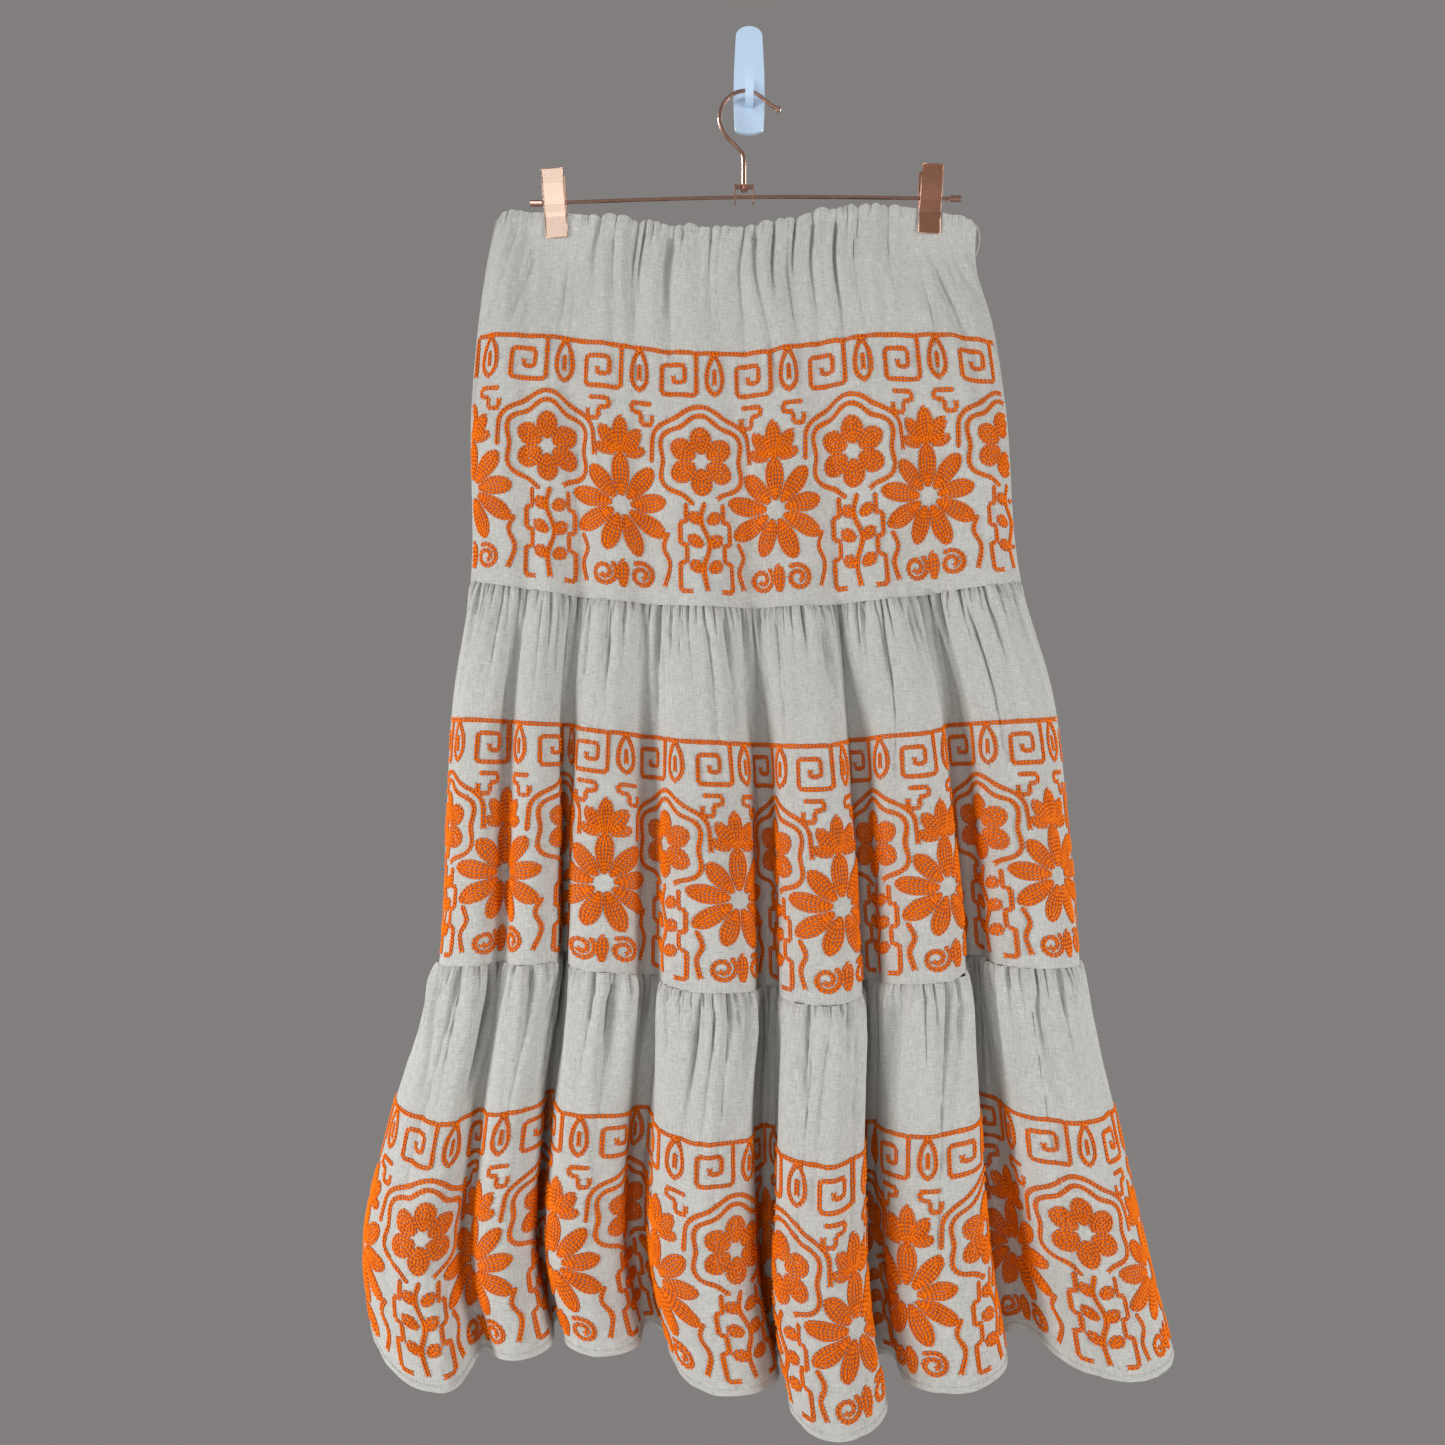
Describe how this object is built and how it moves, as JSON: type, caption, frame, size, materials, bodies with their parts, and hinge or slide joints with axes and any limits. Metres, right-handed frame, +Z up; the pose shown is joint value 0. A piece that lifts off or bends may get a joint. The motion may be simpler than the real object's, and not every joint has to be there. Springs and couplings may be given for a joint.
{
  "type": "tiered maxi skirt on a clip hanger and wall hook",
  "caption": "Long linen skirt in gathered tiers with an embroidered border on each, elastic waist, hung by its waist from a rose-gold clip hanger on a white wall hook.",
  "frame": {"origin": "centre of the wall hook's back face, which lies on the wall", "axes": "+Z up, +X to the right of a viewer who faces the skirt, +Y into the wall"},
  "size_m": [0.6062, 0.1345, 1.046],
  "materials": {
    "linen": "plain weave with slubs and flecks, matt",
    "rose_gold": "rose-gold plated, satin",
    "white_plastic": "smooth moulded, soft gloss"
  },
  "bodies": {
    "root": {"waist_casing_front": "linen", "waist_casing_back": "linen", "tier_1_front": "linen", "tier_1_back": "linen", "tier_2_front": "linen", "tier_2_back": "linen", "tier_3_front": "linen", "tier_3_back": "linen", "hanger_bar": "rose_gold", "bar_cap_left": "rose_gold", "bar_cap_right": "rose_gold", "hanger_hook": "rose_gold", "hook_saddle": "rose_gold", "clip_left_front": "rose_gold", "clip_left_back": "rose_gold", "clip_left_spring": "rose_gold", "clip_right_front": "rose_gold", "clip_right_back": "rose_gold", "clip_right_spring": "rose_gold", "wall_hook": "white_plastic"}
  },
  "joints": []
}
